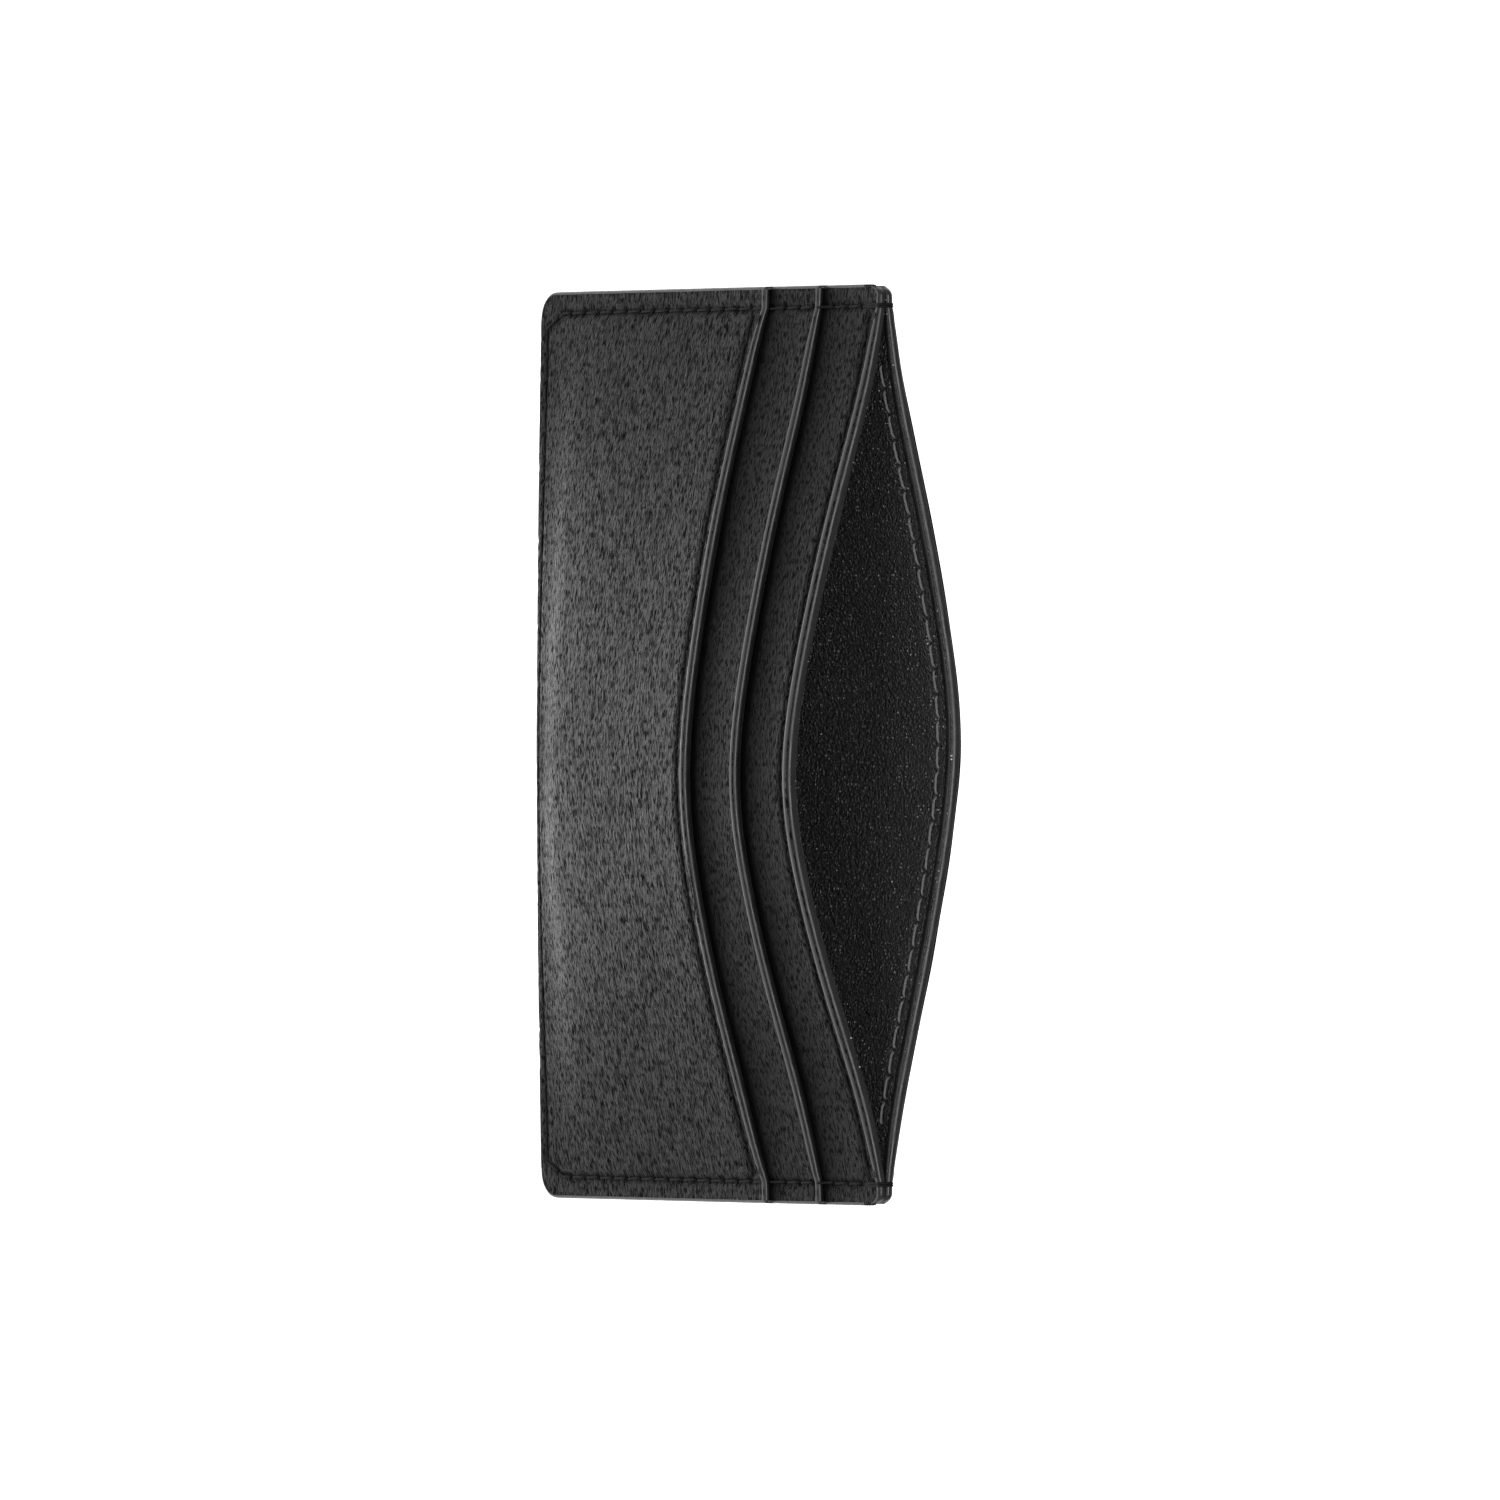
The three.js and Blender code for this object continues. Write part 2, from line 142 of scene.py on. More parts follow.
def soft_box(name, place, size, power):
    light = bpy.data.lights.new(name, "AREA")
    light.shape = "RECTANGLE"
    light.size, light.size_y = size
    light.energy = power
    box = bpy.data.objects.new(name, light)
    box.location = place
    box.rotation_euler = (-Vector(place)).to_track_quat("-Z", "Y").to_euler()
    bpy.context.scene.collection.objects.link(box)


soft_box("front_soft_box", (0.0, -1.0, 0.35), (0.9, 0.6), 2.0)
soft_box("overhead_soft_box", (0.0, -0.27, 1.0), (0.9, 0.45), 5.5)
soft_box("left_soft_box", (-0.9, -0.3, 0.5), (0.4, 0.4), 0.5)
soft_box("right_soft_box", (0.9, -0.3, 0.5), (0.4, 0.4), 0.5)

# ---------------------------------------------------------------------------------------------
# Lower pocket leather. The front panel: black leather with a pebbled grain, pared thin in the
# seam margin, stitched in on three sides, with a scooped lip that stands a little open.
HALF_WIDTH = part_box("seam_edge_paint")[1].x * 1000
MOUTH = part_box("back_wall_lip_paint")[1].z * 1000
LOWER_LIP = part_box("lower_pocket_lip_paint")[1].z * 1000
UPPER_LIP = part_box("upper_pocket_lip_paint")[1].z * 1000
SEAM_X = HALF_WIDTH - 2.4
BOTTOM_SEAM = 2.6
SIDE_PARING, BOTTOM_PARING = 5.0, 8.0
CORNER_RADIUS = 3.0
MOUTH_CORNER_WIDTH, MOUTH_CORNER_HEIGHT = 1.3, 3.0
EDGE_PAINT = 0.3
LIP_PAINT = 0.3

FRONT_BOW, FRONT_CREST, FRONT_SPREAD = 9.9, 3.5, 9.7
BACK_BOW, BACK_CREST, BACK_SPREAD = 8.6, -0.6, 9.1
SEAM_HOLD, SEAM_HOLD_WIDTH = 0.42, 14.0
FOLD_SOFTNESS = 0.02
BOTTOM_SAG, SAG_HEIGHT = 0.5, 12.0

BODY_GAP, MARGIN_GAP = 0.1, 0.04
SHEETS = {
    "lower_leather": (0.7, 0.5), "lower_lining": (0.18, 0.15),
    "upper_leather": (0.7, 0.5), "upper_lining": (0.18, 0.15),
    "front_leather": (0.75, 0.46), "front_lining": (0.4, 0.25),
    "back_lining": (0.4, 0.25), "back_leather": (0.75, 0.46),
}
FRONT_STACK = ["front_lining", "front_leather", "upper_lining", "upper_leather",
               "lower_lining", "lower_leather"]
BACK_STACK = ["back_lining", "back_leather"]
POCKET_GAPE, GAPE_DEPTH = 0.3, 22.0
LOWER_SCOOP, LOWER_SCOOP_POWER = 1.95, 2.4
UPPER_SCOOP, FRONT_SCOOP = 1.95, 3.0


def smooth_step(low, high, value):
    t = np.clip((value - low) / (high - low), 0, 1)
    return t * t * (3 - 2 * t)


def log_cosh(value):
    return np.log(np.cosh(value))


def bow_across(x, crest, spread):
    """Sideways shape of a bowed wall: 1 at its crest, easing to 0 in a rounded fold at the seams."""
    seam = np.where(x > crest, SEAM_X, -SEAM_X)
    free = 1 - log_cosh((x - crest) / spread) / log_cosh((seam - crest) / spread)
    share = free * (1 - SEAM_HOLD * np.exp(-((SEAM_X - np.abs(x)) / SEAM_HOLD_WIDTH) ** 2))
    return (share + np.sqrt(share ** 2 + FOLD_SOFTNESS ** 2)) / 2


def bow_up(z):
    """Upward shape of a bowed wall: 0 at the bottom edge and 1 at the mouth."""
    return (np.sqrt(np.maximum(z, 0) + 1) - 1) / (math.sqrt(MOUTH + 1) - 1)


def sag(x, z):
    """The bottom edge bends a little forward between its corners."""
    return BOTTOM_SAG * np.maximum(0, 1 - (x / SEAM_X) ** 2) * np.exp(-np.maximum(z, 0) / SAG_HEIGHT)


def body_share(x, z):
    """How much of its full thickness a sheet has: it is pared thin toward the seams."""
    sides = 1 - np.exp(-np.maximum(SEAM_X - np.abs(x), 0) / SIDE_PARING)
    return sides * smooth_step(0, BOTTOM_PARING, z - BOTTOM_SEAM)


def thickness(name, x, z):
    body, margin = SHEETS[name]
    return margin + (body - margin) * body_share(x, z)


def gap(x, z):
    return MARGIN_GAP + (BODY_GAP - MARGIN_GAP) * body_share(x, z)


def gape(lip, x, z):
    """How far a pocket stands open at a point under its lip."""
    across = 1 - np.minimum(np.abs(x) / SEAM_X, 1) ** 2
    return POCKET_GAPE * across * smooth_step(lip - GAPE_DEPTH, lip, z)


def face(name, x, z, outer=True):
    """The y of a sheet's outer or inner face, in millimetres."""
    stack = BACK_STACK if name in BACK_STACK else FRONT_STACK
    offset = gap(x, z) / 2
    for layer in stack:
        if layer == "upper_lining":
            offset = offset + gape(UPPER_LIP, x, z)
        if layer == "lower_lining":
            offset = offset + gape(LOWER_LIP, x, z)
        if layer == name:
            break
        offset = offset + thickness(layer, x, z) + gap(x, z)
    if outer:
        offset = offset + thickness(name, x, z)
    if stack is BACK_STACK:
        return BACK_BOW * bow_across(x, BACK_CREST, BACK_SPREAD) * bow_up(z) + offset - sag(x, z)
    return -FRONT_BOW * bow_across(x, FRONT_CREST, FRONT_SPREAD) * bow_up(z) - offset - sag(x, z)


def mouth_corner(x):
    """How far the rounded corners cut a lip down at the ends of the mouth."""
    past = np.clip((np.abs(x) - (HALF_WIDTH - MOUTH_CORNER_WIDTH)) / MOUTH_CORNER_WIDTH, 0, 1)
    return MOUTH_CORNER_HEIGHT * (1 - np.sqrt(1 - past ** 2))


def lower_lip(x):
    across = np.minimum(np.abs(x) / SEAM_X, 1)
    return LOWER_LIP - LOWER_SCOOP * (1 - across ** LOWER_SCOOP_POWER)


def upper_lip(x):
    return UPPER_LIP - UPPER_SCOOP * bow_across(x, FRONT_CREST, FRONT_SPREAD)


def front_lip(x):
    return MOUTH - mouth_corner(x) - FRONT_SCOOP * bow_across(x, FRONT_CREST, FRONT_SPREAD)


def back_lip(x):
    return MOUTH - mouth_corner(x)


# Where the needle goes: a row's line over the leather, with a hole every stitch.
STITCH_PITCH = 2.75
POINTS_PER_STITCH = 28
ROW_REACH = 3.6


class StitchRow:
    """A line of stitching: its points in millimetres, and how far along it each one is."""

    def __init__(self, corners):
        corners = np.array(corners, float)
        run = np.concatenate([[0], np.cumsum(np.linalg.norm(np.diff(corners, axis=0), axis=1))])
        count = max(1, round(run[-1] / STITCH_PITCH))
        self.pitch = run[-1] / count
        self.holes = np.arange(count + 1) * self.pitch
        self.along = np.linspace(0, run[-1], count * POINTS_PER_STITCH + 1)
        self.flat = np.stack([np.interp(self.along, run, corners[:, k]) for k in (0, 1)], 1)
        self.tree = KDTree(len(self.flat))
        for index, (x, z) in enumerate(self.flat):
            self.tree.insert((x, z, 0), index)
        self.tree.balance()

    def at(self, along):
        return np.stack([np.interp(along, self.along, self.flat[:, k]) for k in (0, 1)], -1)


def stitch_press(rows, x, z, groove=0.16, hole=0.24, puff=0.06):
    """How far stitching pulls the leather in at each point, and lets it puff beside the row."""
    press = np.zeros(x.shape)
    for row in rows:
        rough_line = row.flat[::24]
        apart = np.min((x[..., None] - rough_line[:, 0]) ** 2 + (z[..., None] - rough_line[:, 1]) ** 2, -1)
        for index in zip(*np.nonzero(apart < ROW_REACH ** 2)):
            _, nearest, away = row.tree.find((x[index], z[index], 0))
            along = row.along[nearest]
            to_hole = abs(along - round(along / row.pitch) * row.pitch)
            press[index] += (groove * math.exp(-(away / 0.4) ** 2)
                             + hole * math.exp(-(away ** 2 + to_hole ** 2) / 0.13)
                             - puff * math.exp(-((away - 1.1) / 0.55) ** 2))
    return press


def seam_line():
    """The stitch line round the three closed edges, flat, from one end of the mouth to the other."""
    row_height, chamfer_x, chamfer_z = 1.3, 1.6, 3.3
    top = MOUTH - 0.9
    right = [(SEAM_X - chamfer_x, row_height), (SEAM_X, row_height + chamfer_z), (SEAM_X, top)]
    left = [(-x, z) for x, z in reversed(right)]
    return left + right


seam_row = StitchRow(seam_line())


def lip_row(lip, drop, half_width):
    """A row of stitching that follows a lip, a little under it."""
    x = np.linspace(-half_width, half_width, 161)
    return StitchRow(np.stack([x, lip(x) - drop], 1))


LIP_ROW_DROP, LIP_ROW_HALF_WIDTH = 1.9, 46.6
lower_lip_row = lip_row(lower_lip, LIP_ROW_DROP, LIP_ROW_HALF_WIDTH)


def columns(middle_step, side_step=0.2):
    """Positions across the holder, closer together near the side seams."""
    inner = 45.0
    edge = HALF_WIDTH - EDGE_PAINT * 0.7
    middle = np.linspace(-inner, inner, round(2 * inner / middle_step) + 1)
    side = np.linspace(inner, edge, round((edge - inner) / side_step) + 1)[1:]
    return np.concatenate([-side[::-1], middle, side])


def heights(top, fine_from, fine_step):
    """Nominal heights up a sheet: close together round a bottom seam that shows, and at its lip."""
    low = np.arange(0, 6, 1.2 if fine_from > 6 else min(0.3, fine_step))
    hidden = np.arange(6, max(6, fine_from), 1.2)
    shown = np.arange(max(6, fine_from), top - 1.2, fine_step)
    return np.concatenate([low, hidden, shown, np.linspace(top - 1.1, top, 9)])


def sheet_bottom(x):
    """Height of a sheet's bottom edge, with its rounded corners."""
    radius = CORNER_RADIUS - EDGE_PAINT * 0.7
    past = np.clip(np.abs(x) - (HALF_WIDTH - CORNER_RADIUS), 0, radius)
    return CORNER_RADIUS - np.sqrt(radius ** 2 - past ** 2)


def sheet_grid(top_nominal, lip, x_list, nominal):
    """x and z of a sheet's grid: rows level at the bottom, following the lip at the top."""
    x = np.repeat(x_list[:, None], len(nominal), 1)
    h = np.repeat(nominal[None, :], len(x_list), 0)
    low = sheet_bottom(x)
    level = h + low * np.maximum(0, 1 - h / 30)
    follow = smooth_step(0.3 * top_nominal, top_nominal - 6, h)
    z = level + (lip(x) - LIP_PAINT * 0.6 - top_nominal) * follow
    return x, z


def soft_waves(x, z, seed, depth):
    """Slow unevenness of hand-worked leather."""
    random = np.random.default_rng(seed)
    total = np.zeros(x.shape)
    for _ in range(9):
        angle, phase = random.uniform(0, 2 * math.pi, 2)
        wave = 2 * math.pi / random.uniform(9, 26)
        total += np.sin(wave * (x * math.cos(angle) + z * math.sin(angle)) + phase)
    return depth * total / 3


def grid_faces(columns_count, rows_count, first, flip):
    """Quads of a grid of points numbered column by column from first."""
    i, k = np.meshgrid(np.arange(columns_count - 1), np.arange(rows_count - 1), indexing="ij")
    a = first + i * rows_count + k
    quads = np.stack([a, a + rows_count, a + rows_count + 1, a + 1], -1).reshape(-1, 4)
    return quads[:, ::-1] if flip else quads


def make_piece(name, points, faces, finish, node_name, place=None, painted_crease_shadow=None):
    """A piece of the holder from points in millimetres, standing for its CAD node."""
    mesh = bpy.data.meshes.new(name)
    mesh.from_pydata((np.asarray(points) * 0.001).tolist(), [], faces)
    if place is not None:
        flat = mesh.attributes.new("flat_place", "FLOAT_VECTOR", "POINT")
        flat.data.foreach_set("vector", np.asarray(place, np.float32).ravel())
    # A painted shadow for the creases behind pocket lips, kept on the mesh.
    if painted_crease_shadow is not None:
        crease_shadow_layer = mesh.attributes.new("painted_crease_shadow", "FLOAT", "POINT")
        crease_shadow_layer.data.foreach_set("value", np.asarray(painted_crease_shadow, np.float32).ravel())
    mesh.polygons.foreach_set("use_smooth", [True] * len(mesh.polygons))
    mesh.materials.append(finish)
    piece = bpy.data.objects.new(name, mesh)
    bpy.context.scene.collection.objects.link(piece)
    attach(piece, "root")
    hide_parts(node_name)
    return piece


def pebbles(x, z, seed):
    """Depth of the grain's pits: long dents that run across the hide, many of them in pairs."""
    random = np.random.default_rng(seed)
    cell_x, cell_z = 1.35, 0.95
    half_width, deepest = 0.13, 0.15
    twin_x, twin_z = -0.2, 0.48
    shape = (int(120 / cell_x), int(90 / cell_z))
    centre_x = random.uniform(-0.45, 0.45, shape)
    centre_z = random.uniform(-0.42, 0.42, shape)
    depth = 0.14 * np.clip(random.uniform(-0.1, 1.2, shape), 0, 1)
    length = random.uniform(0.28, 0.55, shape)
    paired = np.where(random.uniform(0, 1, shape) < 0.5, random.uniform(0.4, 1.0, shape), 0)
    i0 = np.floor((x + 60) / cell_x).astype(int)
    k0 = np.floor((z + 10) / cell_z).astype(int)
    total = np.zeros(x.shape)
    for di in (-1, 0, 1):
        for dk in (-1, 0, 1):
            i, k = np.clip(i0 + di, 0, shape[0] - 1), np.clip(k0 + dk, 0, shape[1] - 1)
            from_x = x + 60 - (i + 0.5 + centre_x[i, k]) * cell_x
            from_z = z + 10 - (k + 0.5 + centre_z[i, k]) * cell_z
            one = np.exp(-(from_x / length[i, k]) ** 2 - (from_z / half_width) ** 2)
            twin = np.exp(-((from_x - twin_x) / length[i, k]) ** 2
                          - ((from_z - twin_z) / half_width) ** 2)
            total += depth[i, k] * (one + paired[i, k] * twin)
    return np.minimum(total, deepest)


def grain_run(x, z, slope=0.22, middle=12.0):
    """The height at which the grain line through a point crosses the middle of the sheet."""
    droop = slope * (np.sqrt(x ** 2 + middle ** 2) - middle)
    return z - droop * (1 - smooth_step(5, 40, z))


# How dark the painted shadow in the crease behind a pocket lip is.
CREASE_SHADOW_DARKNESS = 0.85


def sew_sheet(name, sheet, lip, top, rows, finish, node_name, seed, steps,
              relief=None, wave=0.05, grain=False, fine_from=0, pocket_lip=None):
    """A closed leather or lining sheet: a shown face pressed by its stitching, and a hidden face.
    Behind a pocket lip a painted shadow darkens the leather, for the shade that falls in the crease there."""
    x_list = columns(steps[0])
    nominal = heights(top, fine_from, steps[1])
    x, z = sheet_grid(top, lip, x_list, nominal)
    outward = 1 if sheet in BACK_STACK else -1
    lift = soft_waves(x, z, seed, wave) * body_share(x, z) - stitch_press(rows, x, z)
    if grain:
        burnished = smooth_step(0.5, 1.3, lip(x) - z)
        lift = lift - pebbles(x, grain_run(x, z), seed) * burnished
    if relief:
        lift = lift + relief(x, z)
    shown_inside = sheet.endswith("lining")
    shown = face(sheet, x, z, outer=not shown_inside)
    shown = shown + (-outward if shown_inside else outward) * lift
    hidden_rows = np.linspace(0, len(nominal) - 1, 14).round().astype(int)
    xh, zh = x[:, hidden_rows], z[:, hidden_rows]
    hidden = face(sheet, xh, zh, outer=shown_inside)
    points = np.concatenate([np.stack([x, shown, z], -1).reshape(-1, 3),
                             np.stack([xh, hidden, zh], -1).reshape(-1, 3)])
    place = points * (1, 0, 1)
    if grain:
        place[:, 2] = grain_run(points[:, 0], points[:, 2])
    nc, nr, nh = len(x_list), len(nominal), len(hidden_rows)
    faces_front = (outward < 0) != shown_inside
    start = nc * nr
    faces = grid_faces(nc, nr, 0, not faces_front).tolist()
    faces += grid_faces(nc, nh, start, faces_front).tolist()
    for i in range(nc - 1):
        bottom = [i * nr, (i + 1) * nr, start + (i + 1) * nh, start + i * nh]
        upper = [i * nr + nr - 1, (i + 1) * nr + nr - 1,
                 start + (i + 1) * nh + nh - 1, start + i * nh + nh - 1]
        faces.append(bottom[::-1] if faces_front else bottom)
        faces.append(upper if faces_front else upper[::-1])
    for column, flip in ((0, faces_front), (nc - 1, not faces_front)):
        loop = [column * nr + k for k in range(nr)]
        back = [start + column * nh + k for k in range(nh)][::-1]
        faces.append((loop + back)[::-1] if flip else loop + back)
    # Painted shadow just above the lip of the pocket in front.
    painted_crease_shadow = np.zeros(len(points))
    if pocket_lip:
        painted_crease_shadow[:x.size] = CREASE_SHADOW_DARKNESS * (1 - smooth_step(0.1, 1.5, z - pocket_lip(x))).ravel()
    return make_piece(name, points, faces, finish, node_name, place, painted_crease_shadow)


def flat_place(tree, stretch=(1, 1, 1)):
    """Coordinates on the sheet laid flat, in millimetres, stretched as its grain runs."""
    place = node(tree, "ShaderNodeAttribute", attribute_name="flat_place").outputs["Vector"]
    return node(tree, "ShaderNodeVectorMath", {0: place, 1: stretch}, operation="MULTIPLY").outputs[0]


def solid_place(tree, stretch=(1, 1, 1)):
    """Coordinates in the holder, in millimetres, for pieces that aren't cut from a sheet."""
    place = node(tree, "ShaderNodeTexCoord").outputs["Object"]
    scale = tuple(1000 * s for s in stretch)
    return node(tree, "ShaderNodeVectorMath", {0: place, 1: scale}, operation="MULTIPLY").outputs[0]


GRAIN_DEPTH = 0.0006


def grained_leather(name, colour, painted_sheen_colour, pit_shade_colour, roughness):
    """Pebbled leather: a satin skin with wrinkles that run one way, a painted sheen greying it a little
    near the foot, and painted shade, matt black, in its pits, its nicks and the creases behind the pocket
    lips."""
    finish, tree, shader = new_finish(name, colour, roughness, ior=1.3)
    place = flat_place(tree, (0.42, 1, 1))
    wobble = node(tree, "ShaderNodeTexNoise", {"Vector": place, "Scale": 0.7, "Detail": 2.0})
    centred = node(tree, "ShaderNodeVectorMath", {
        0: wobble.outputs["Color"], 1: (0.5, 0.5, 0.5)}, operation="SUBTRACT").outputs[0]
    bent = node(tree, "ShaderNodeVectorMath", {
        0: centred, 1: (0.5, 0.5, 0.5), 2: place}, operation="MULTIPLY_ADD").outputs[0]
    cracks = node(tree, "ShaderNodeTexVoronoi", {"Vector": bent, "Scale": 1.9}, feature="F1")
    uneven = mixed(tree, "MULTIPLY", wobble.outputs["Fac"], 0.3)
    pitted = ramp(tree, mixed(tree, "ADD", cracks.outputs["Distance"], uneven), 0.3, 0.5, 1, 0)
    nicks = node(tree, "ShaderNodeTexNoise", {
        "Vector": flat_place(tree, (0.32, 1, 1)), "Scale": 4.0, "Detail": 1.0}).outputs["Fac"]
    # Painted shade: pits and nicks are darkened for the shade that falls in them.
    painted_shade = mixed(tree, "MAXIMUM", mixed(tree, "MULTIPLY", pitted, 0.8),
                 ramp(tree, nicks, 0.37, 0.5, 0.85, 0))
    # The painted shadow in the creases behind the pocket lips.
    painted_crease_shadow = node(tree, "ShaderNodeAttribute", attribute_name="painted_crease_shadow").outputs["Fac"]
    painted_shade = mixed(tree, "MAXIMUM", painted_shade, painted_crease_shadow)
    wrinkles = node(tree, "ShaderNodeTexNoise", {
        "Vector": flat_place(tree, (0.26, 1, 1)), "Scale": 2.2, "Detail": 4.0,
        "Roughness": 0.66}).outputs["Fac"]
    fine = node(tree, "ShaderNodeTexNoise", {"Vector": place, "Scale": 6.0, "Detail": 3.0}).outputs["Fac"]
    height = mixed(tree, "SUBTRACT", mixed(tree, "MULTIPLY", wrinkles, 3.0),
                   mixed(tree, "MULTIPLY", pitted, 1.3))
    height = mixed(tree, "ADD", height, mixed(tree, "MULTIPLY", fine, 0.7))
    bump = node(tree, "ShaderNodeBump", {"Height": height, "Strength": 1.0, "Distance": GRAIN_DEPTH})
    tree.links.new(bump.outputs["Normal"], shader.inputs["Normal"])
    # Painted sheen: the base colour is made paler low on the sheet and toward its middle, where the floor's
    # reflection is brightest.
    height_up = node(tree, "ShaderNodeSeparateXYZ", {"Vector": place}).outputs["Z"]
    painted_sheen_mask = mixed(tree, "MULTIPLY", ramp(tree, height_up, 2.5, 4), ramp(tree, height_up, 7, 20, 1, 0))
    sideways = node(tree, "ShaderNodeSeparateXYZ", {"Vector": flat_place(tree)}).outputs["X"]
    painted_sheen_mask = mixed(tree, "MULTIPLY", painted_sheen_mask,
                   ramp(tree, mixed(tree, "ABSOLUTE", sideways, 0.0), 16, 38, 1, 0.1))
    painted_highlight = node(tree, "ShaderNodeMix", {"Factor": painted_sheen_mask, 6: (*colour, 1), 7: (*painted_sheen_colour, 1)},
                data_type="RGBA").outputs[2]
    tree.links.new(painted_highlight, shader.inputs["Base Color"])
    rough = ramp(tree, wrinkles, 0.3, 0.75, roughness + 0.08, roughness - 0.06)
    rough = mixed(tree, "ADD", rough, mixed(tree, "MULTIPLY", pitted, 0.3))
    tree.links.new(rough, shader.inputs["Roughness"])
    # A matt black shader, mixed in by the painted shade mask, darkens the pits, nicks and creases.
    pit_shade = node(tree, "ShaderNodeBsdfPrincipled", {
        "Base Color": (*pit_shade_colour, 1), "Roughness": 1.0, "IOR": 1.1})
    skin = node(tree, "ShaderNodeMixShader", {0: painted_shade, 1: shader.outputs[0], 2: pit_shade.outputs[0]})
    tree.links.new(skin.outputs[0], tree.nodes["Material Output"].inputs["Surface"])
    return finish


# The second colour is the painted sheen near the foot; the third is the painted shade in the pits.
black_grain = grained_leather("black_grain", (0.011, 0.011, 0.0114), (0.045, 0.045, 0.046),
                              (0.002, 0.002, 0.002), 0.38)
sew_sheet("lower_pocket_panel", "lower_leather", lower_lip, LOWER_LIP, [seam_row, lower_lip_row],
          black_grain, "lower_pocket_leather", seed=11, steps=(0.34, 0.2),
          grain=True)

# ---------------------------------------------------------------------------------------------
# Upper pocket leather. The same grained leather behind the lower pocket, 10 mm taller. Its lip
# isn't stitched: two fine lines are creased into it with a hot iron.
CREASES = ((1.15, 0.05), (1.75, 0.04))


def creased_lip(x, z):
    drop = upper_lip(x) - z
    return -sum(depth * np.exp(-((drop - at) / 0.14) ** 2) for at, depth in CREASES)


sew_sheet("upper_pocket_panel", "upper_leather", upper_lip, UPPER_LIP, [seam_row],
          black_grain, "upper_pocket_leather", seed=12, steps=(0.34, 0.2),
          relief=creased_lip, grain=True, fine_from=LOWER_LIP - 5, pocket_lip=lower_lip)

# ---------------------------------------------------------------------------------------------
# Front wall. Grained leather outside and fine-grained lining inside, glued together and sewn
# along the lip. It bows out to the front when the mouth is held open.
front_lip_row = lip_row(front_lip, LIP_ROW_DROP, LIP_ROW_HALF_WIDTH)
sew_sheet("front_wall_panel", "front_leather", front_lip, MOUTH, [seam_row, front_lip_row],
          black_grain, "front_wall_leather", seed=13, steps=(0.34, 0.2),
          grain=True, fine_from=UPPER_LIP - 5, pocket_lip=upper_lip)


def lining_leather(name, colour, roughness):
    """Smooth lining skiver: tiny even grain, with some grain tops painted pale as painted glints."""
    finish, tree, shader = new_finish(name, colour, roughness)
    place = flat_place(tree, (0.85, 1, 1))
    cells = node(tree, "ShaderNodeTexVoronoi", {"Vector": place, "Scale": 3.0, "Randomness": 1.0})
    crumb = node(tree, "ShaderNodeTexNoise", {"Vector": place, "Scale": 3.4, "Detail": 4.0}).outputs["Fac"]
    height = mixed(tree, "ADD", mixed(tree, "MULTIPLY", cells.outputs["Distance"], -0.7),
                   mixed(tree, "MULTIPLY", crumb, 1.3))
    bump = node(tree, "ShaderNodeBump", {"Height": height, "Strength": 1.0, "Distance": 0.0004})
    tree.links.new(bump.outputs["Normal"], shader.inputs["Normal"])
    # Painted glints: the tops of some random cells are made many times paler.
    glint_tops = ramp(tree, cells.outputs["Distance"], 0.1, 0.32, 1, 0)
    random_cell = node(tree, "ShaderNodeSeparateXYZ", {"Vector": cells.outputs["Color"]}).outputs["X"]
    painted_highlight = mixed(tree, "MULTIPLY", glint_tops, ramp(tree, random_cell, 0.72, 1.0, 0, 22))
    tone = mixed(tree, "ADD", ramp(tree, crumb, 0.3, 0.75, 0.7, 1.25), painted_highlight)
    scaled = node(tree, "ShaderNodeMix", {"Factor": tone, 6: (0, 0, 0, 1), 7: (*colour, 1)},
                  data_type="RGBA", clamp_factor=False)
    tree.links.new(scaled.outputs[2], shader.inputs["Base Color"])
    tree.links.new(ramp(tree, crumb, 0.3, 0.7, roughness + 0.08, roughness - 0.08),
                   shader.inputs["Roughness"])
    return finish


black_lining = lining_leather("black_lining", (0.04, 0.04, 0.041), 0.3)
sew_sheet("front_wall_lining_skin", "front_lining", front_lip, MOUTH, [seam_row, front_lip_row],
          black_lining, "front_wall_lining", seed=14, steps=(0.6, 0.6), wave=0.04)

# ---------------------------------------------------------------------------------------------
# Back wall. Grained leather outside and the same fine-grained lining inside, seen through the
# mouth, sewn 2.6 mm under its lip.
BACK_ROW_DROP, BACK_ROW_HALF_WIDTH = 2.6, 41.4
back_lip_row = lip_row(back_lip, BACK_ROW_DROP, BACK_ROW_HALF_WIDTH)
sew_sheet("back_wall_panel", "back_leather", back_lip, MOUTH, [seam_row, back_lip_row],
          black_grain, "back_wall_leather", seed=15, steps=(0.5, 0.42),
          grain=True)
sew_sheet("back_wall_lining_skin", "back_lining", back_lip, MOUTH, [back_lip_row],
          black_lining, "back_wall_lining", seed=16, steps=(0.5, 0.4), wave=0.04)

# ---------------------------------------------------------------------------------------------
# Pocket linings. Thin black woven cloth glued behind each front pocket, so that cards slide.


